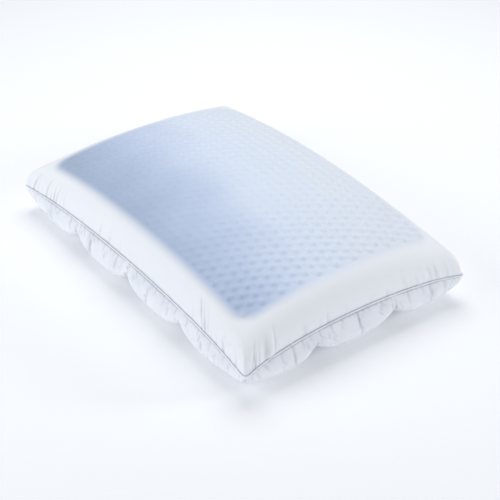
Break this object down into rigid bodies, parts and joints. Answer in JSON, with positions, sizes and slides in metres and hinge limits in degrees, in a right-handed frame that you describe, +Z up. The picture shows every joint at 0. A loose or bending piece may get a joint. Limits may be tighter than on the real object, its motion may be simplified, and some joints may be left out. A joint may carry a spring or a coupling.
{
  "type": "bed pillow",
  "caption": "Hybrid bed pillow: foam core with a domed cooling gel pad under a thin cover, over a quilted baffle-box underside, closed by a piped edge.",
  "frame": {"origin": "centre of the pillow's footprint, on the surface it lies on", "axes": "+X along the long side, +Y across the pillow, +Z up through the gel side"},
  "size_m": [0.6056, 0.3972, 0.135],
  "materials": {
    "top_knit": "smooth stretch knit, white at the border and pale blue over the gel pad",
    "bottom_cotton": "fine white woven cotton",
    "inner_ticking": "plain white woven ticking",
    "piping_bias": "white bias-cut cotton strip",
    "filler_cord": "soft twisted cotton cord",
    "foam": "open-cell polyurethane foam",
    "gel": "satin blue cooling gel",
    "fibre": "loose white polyester fibre",
    "thread": "white polyester sewing thread",
    "label_tape": "blank satin tape"
  },
  "bodies": {
    "root": {"bottom_cover": "bottom_cotton", "care_label": "label_tape", "cross_baffle_1_1": "inner_ticking", "cross_baffle_1_2": "inner_ticking", "cross_baffle_1_3": "inner_ticking", "cross_baffle_2_1": "inner_ticking", "cross_baffle_2_2": "inner_ticking", "cross_baffle_2_3": "inner_ticking", "cross_baffle_3_1": "inner_ticking", "cross_baffle_3_2": "inner_ticking", "cross_baffle_3_3": "inner_ticking", "divider_panel": "inner_ticking", "fibre_fill_1_1": "fibre", "fibre_fill_1_2": "fibre", "fibre_fill_1_3": "fibre", "fibre_fill_2_1": "fibre", "fibre_fill_2_2": "fibre", "fibre_fill_2_3": "fibre", "fibre_fill_3_1": "fibre", "fibre_fill_3_2": "fibre", "fibre_fill_3_3": "fibre", "fibre_fill_4_1": "fibre", "fibre_fill_4_2": "fibre", "fibre_fill_4_3": "fibre", "foam_core": "foam", "gel_pad": "gel", "long_baffle_1": "inner_ticking", "long_baffle_2": "inner_ticking", "piping_cord": "filler_cord", "piping_cover": "piping_bias", "quilting_thread": "thread", "seam_thread": "thread", "top_cover": "top_knit"}
  },
  "joints": []
}
